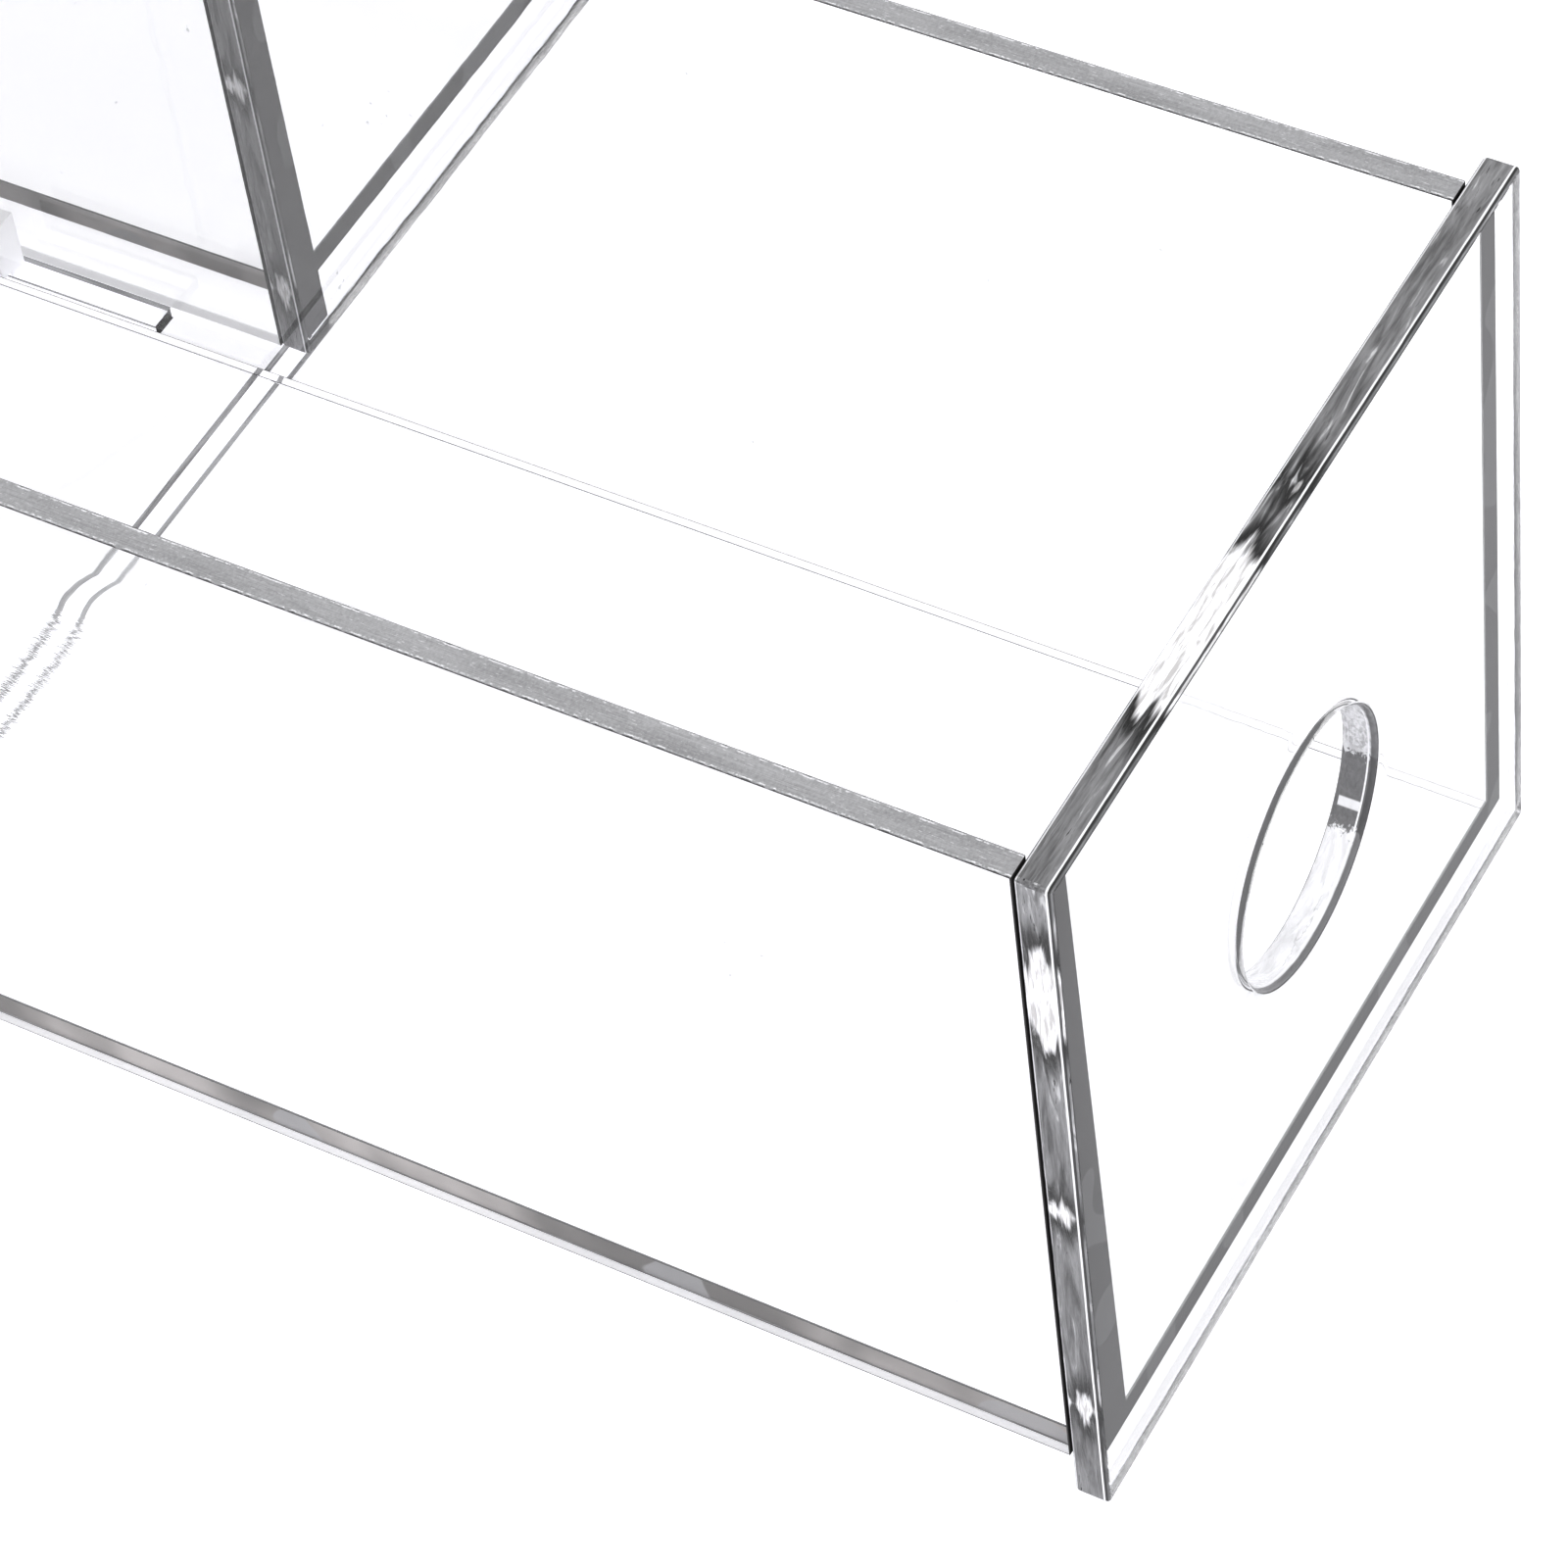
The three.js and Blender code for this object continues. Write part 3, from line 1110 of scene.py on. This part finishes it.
@dataclass
class Tower:
    """The tower's case, its baffles and the ramp that leads into the tray.

    Args:
        body: The body that it rides on.
        run_top: How far the cement has run out beside the left wall at its top, in metres.
        run_foot: The same at its foot.
        inside: The CAD nodes of the sheets inside the case.
    """

    body: str = "stand"
    run_top: float = 1.5 * MM
    run_foot: float = 3.5 * MM
    inside: tuple[str, ...] = (
        "lower_baffle",
        "upper_baffle",
        "lower_baffle_cleat",
        "upper_baffle_cleat",
        "exit_ramp",
        "ramp_cleat",
        "ramp_cheek_front",
        "ramp_cheek_rear",
    )

    def build(self, finishes: list[bpy.types.Material]) -> None:
        """Makes every sheet of the tower.

        Args:
            finishes: The materials, in the order of Finish.
        """
        joints = (
            Bond("tower_left_wall", Finish.DARK_JOINT, self.run_top, self.run_foot),
            Bond("tower_right_wall", Finish.DARK_JOINT),
            Bond("tower_floor", Finish.DARK_JOINT),
        )
        FrontPanel("tower_front_panel", self.body, bonds=joints).build(finishes)
        floor = (Bond("tower_floor"),)
        foot = {Axis.DOWN: Finish.PALE}
        Sheet("tower_left_wall", self.body, WALL_EDGES | foot, bonds=floor).build(finishes)
        Sheet("tower_right_wall", self.body, WALL_EDGES | foot, bonds=floor).build(finishes)
        Sheet("tower_back_wall", self.body, BETWEEN_EDGES | foot, bonds=floor).build(finishes)
        Sheet("tower_floor", self.body, default=Finish.BUTT).build(finishes)
        for name in self.inside:
            Sheet(name, self.body).build(finishes)


# ---------------------------------------------------------------------- studio


@dataclass(frozen=True)
class Studio:
    """The camera, the table and the soft white light.

    Args:
        azimuth: How far the camera is turned round the object, in degrees.
        elevation: How high it stands, in degrees.
        roll: How far it leans, in degrees.
        distance: How far it is from the tray's near front corner, in metres.
        across: How far that corner is to the right of its axis, in metres.
        up: How far that corner is above its axis, in metres.
        lens: Its focal length, in millimetres.
        tray_height: From the tray's top to that corner, in metres.
        table_size: How wide the table is, in metres.
        table_drop: How far the table lies under the object, in metres.
        lamp_place: Where the softbox hangs, in metres.
        lamp_size: How wide the softbox is, in metres.
        lamp_power: How strong the softbox is, in watts.
        exposure: How much the picture is brightened, in stops.
        gamma: How the picture's middle tones are raised, or lowered under 1.
    """

    azimuth: float = -54.62
    elevation: float = 50.06
    roll: float = -8.31
    distance: float = 0.6261
    across: float = 0.0291
    up: float = -0.0682
    lens: float = 142.04
    tray_height: float = 94 * MM
    table_size: float = 6.0
    table_drop: float = 0.0001
    lamp_place: tuple[float, float, float] = (-0.5, 0.6, 1.6)
    lamp_size: float = 1.6
    lamp_power: float = 6.7
    exposure: float = 0.15
    gamma: float = 0.80

    def camera(self) -> None:
        """Sets up the camera at its viewing angle."""
        low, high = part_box("tray_front_panel")
        corner = Vector((low.x, high.y, high.z - self.tray_height))
        azimuth, elevation = math.radians(self.azimuth), math.radians(self.elevation)
        back = Vector((
            math.sin(azimuth) * math.cos(elevation),
            -math.cos(azimuth) * math.cos(elevation),
            math.sin(elevation),
        ))
        right = Vector((0, 0, 1)).cross(back).normalized()
        upward = back.cross(right)
        turn = math.radians(self.roll)
        right, upward = (
            right * math.cos(turn) + upward * math.sin(turn),
            upward * math.cos(turn) - right * math.sin(turn),
        )
        eye = corner - right * self.across - upward * self.up + back * self.distance
        data = bpy.data.cameras.new("camera")
        data.lens = self.lens
        data.sensor_width = 36.0
        data.clip_start = 0.01
        data.clip_end = 50.0
        camera = bpy.data.objects.new("camera", data)
        camera.matrix_world = Matrix.Translation(eye) @ Matrix((right, upward, back)).transposed().to_4x4()
        bpy.context.scene.collection.objects.link(camera)
        bpy.context.scene.camera = camera

    def table(self) -> None:
        """Lays the table top under the object."""
        bpy.ops.object.select_all(action="DESELECT")
        bpy.ops.mesh.primitive_plane_add(size=self.table_size, location=(0, 0, -self.table_drop))
        top = bpy.context.active_object
        top.name = "table_top"
        bpy.ops.object.transform_apply(location=True, rotation=True, scale=True)
        top.data.materials.append(Table().material())

    def surroundings(self) -> None:
        """Surrounds the set with soft white light, a little darker near the horizon."""
        world = bpy.data.worlds.new("soft_studio")
        world.use_nodes = True
        tree = world.node_tree
        tree.nodes.clear()
        place = tree.nodes.new("ShaderNodeTexCoord")
        split = tree.nodes.new("ShaderNodeSeparateXYZ")
        tree.links.new(place.outputs["Generated"], split.inputs[0])
        ramp = tree.nodes.new("ShaderNodeValToRGB")
        stops = ramp.color_ramp.elements
        stops[0].position, stops[0].color = 0.0, (1.02, 1.02, 1.03, 1)
        stops[1].position, stops[1].color = 0.35, (1.06, 1.06, 1.06, 1)
        dim = stops.new(0.06)
        dim.color = (0.80, 0.80, 0.81, 1)
        tree.links.new(split.outputs[2], ramp.inputs[0])
        shine = tree.nodes.new("ShaderNodeBackground")
        tree.links.new(ramp.outputs[0], shine.inputs[0])
        out = tree.nodes.new("ShaderNodeOutputWorld")
        tree.links.new(shine.outputs[0], out.inputs[0])
        bpy.context.scene.world = world

    def softbox(self) -> None:
        """Hangs a round softbox over the rear left, which no gloss shows."""
        data = bpy.data.lights.new("softbox", "AREA")
        data.shape = "DISK"
        data.size = self.lamp_size
        data.energy = self.lamp_power
        lamp = bpy.data.objects.new("softbox", data)
        lamp.location = self.lamp_place
        lamp.rotation_euler = (-lamp.location).to_track_quat("-Z", "Y").to_euler()
        lamp.visible_glossy = False
        lamp.visible_transmission = False
        bpy.context.scene.collection.objects.link(lamp)

    def grade(self) -> None:
        """Sets how the picture's tones are shown."""
        settings = bpy.context.scene.view_settings
        settings.view_transform = "Standard"
        settings.look = "None"
        settings.exposure = self.exposure
        settings.gamma = self.gamma

    def build(self) -> None:
        """Makes the whole set."""
        self.camera()
        self.table()
        self.surroundings()
        self.softbox()
        self.grade()


def make_finishes() -> list[bpy.types.Material]:
    """Makes every material.

    Returns:
        The materials, in the order of Finish.
    """
    hole = panel_centre()
    made = {
        Finish.CLEAR: ClearFace("acrylic_face", tint=0.99),
        Finish.PANEL: ClearFace("acrylic_panel_face", tint=0.92, hole=(hole.x, hole.z)),
        Finish.SAGGED: ClearFace("acrylic_sagged_face", tint=0.99, sag=True),
        Finish.SAWN: SawnEdge("acrylic_sawn_edge"),
        Finish.POLISHED: PolishedEdge("acrylic_polished_edge", gaps=LIT_GAPS),
        Finish.HOLE: HoleWall("acrylic_hole_wall"),
        Finish.BUTT: ButtEdge("acrylic_butt_edge"),
        Finish.RIM: RimEdge("acrylic_rim_edge"),
        Finish.PALE: RimEdge("acrylic_pale_edge", line=NO_LINE),
        Finish.LINED: RimEdge("acrylic_lined_edge", line=0.20),
        Finish.SEALED: SealedFace("acrylic_sealed_face"),
        # The dark cement finish also serves as painted shade at the end of the guide slot
        Finish.DARK_JOINT: Cement("cement_dark_and_shade", low=0.008, high=0.03, gap=0.12),
        Finish.GREY_JOINT: Cement("cement_grey", low=0.26, high=0.72, gap=0.60),
    }
    return [made[finish].material() for finish in Finish]


def main() -> None:
    """Builds the set and every piece."""
    logging.basicConfig(level=logging.INFO, format="%(name)s: %(message)s")
    Studio().build()
    finishes = make_finishes()
    for assembly in (CatchTray(), Base(), Tower()):
        assembly.build(finishes)


if __name__ == "__main__":
    main()
